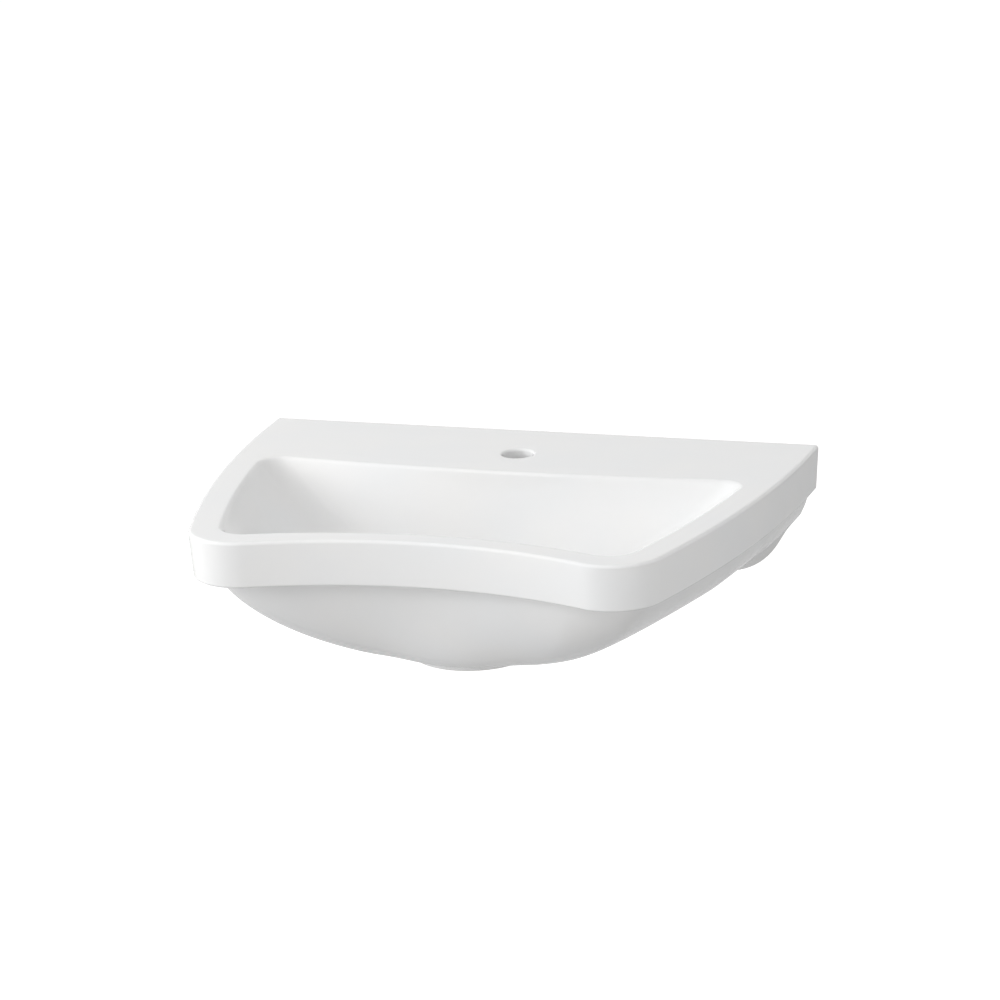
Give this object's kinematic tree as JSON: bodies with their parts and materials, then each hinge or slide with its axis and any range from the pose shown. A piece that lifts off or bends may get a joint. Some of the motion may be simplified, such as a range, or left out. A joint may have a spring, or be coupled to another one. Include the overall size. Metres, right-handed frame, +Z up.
{
  "type": "wall hung basin",
  "caption": "Wall hung washbasin in glazed china with a hollow-curved front, a wide rear deck with one tap hole, its wall fixing set and a push-open waste.",
  "frame": {"origin": "on the wall face, midway between the two fixing holes", "axes": "+Z up, -Y out of the wall towards the user, +X to the user's right as they face the basin"},
  "size_m": [0.6386, 0.5318, 0.181],
  "materials": {
    "china": "glossy white glaze over vitreous china",
    "plug_nylon": "moulded grey nylon",
    "bush_nylon": "moulded natural nylon",
    "zinc_steel": "bright zinc plate",
    "chrome": "polished chrome on brass",
    "seal_rubber": "matt black rubber",
    "ring_rubber": "smooth dark rubber",
    "nut_brass": "turned brass",
    "cartridge_plastic": "moulded white acetal",
    "spring_steel": "drawn stainless wire"
  },
  "bodies": {
    "basin": {"basin_body": "china", "left_wall_plug": "plug_nylon", "left_hanger_stud": "zinc_steel", "left_bush": "bush_nylon", "left_washer": "zinc_steel", "left_fixing_nut": "zinc_steel", "right_wall_plug": "plug_nylon", "right_hanger_stud": "zinc_steel", "right_bush": "bush_nylon", "right_washer": "zinc_steel", "right_fixing_nut": "zinc_steel", "waste_body": "chrome", "flange_seal": "seal_rubber", "tapered_seal": "seal_rubber", "slip_washer": "bush_nylon", "back_nut": "nut_brass", "cartridge_case": "cartridge_plastic", "cartridge_spring": "spring_steel", "cartridge_nut": "nut_brass"},
    "plug": {"plug_cap": "chrome", "plug_seal": "ring_rubber", "cartridge_plunger": "nut_brass", "cartridge_rotor": "cartridge_plastic"}
  },
  "joints": [
    {"name": "plug_slide", "type": "slide", "parent": "basin", "child": "plug", "axis": [0, 0, 1], "range_m": [-0.009, 0], "stiffness_N_per_m": 250, "springref_m": 0.003, "deforming": ["cartridge_spring"]}
  ]
}
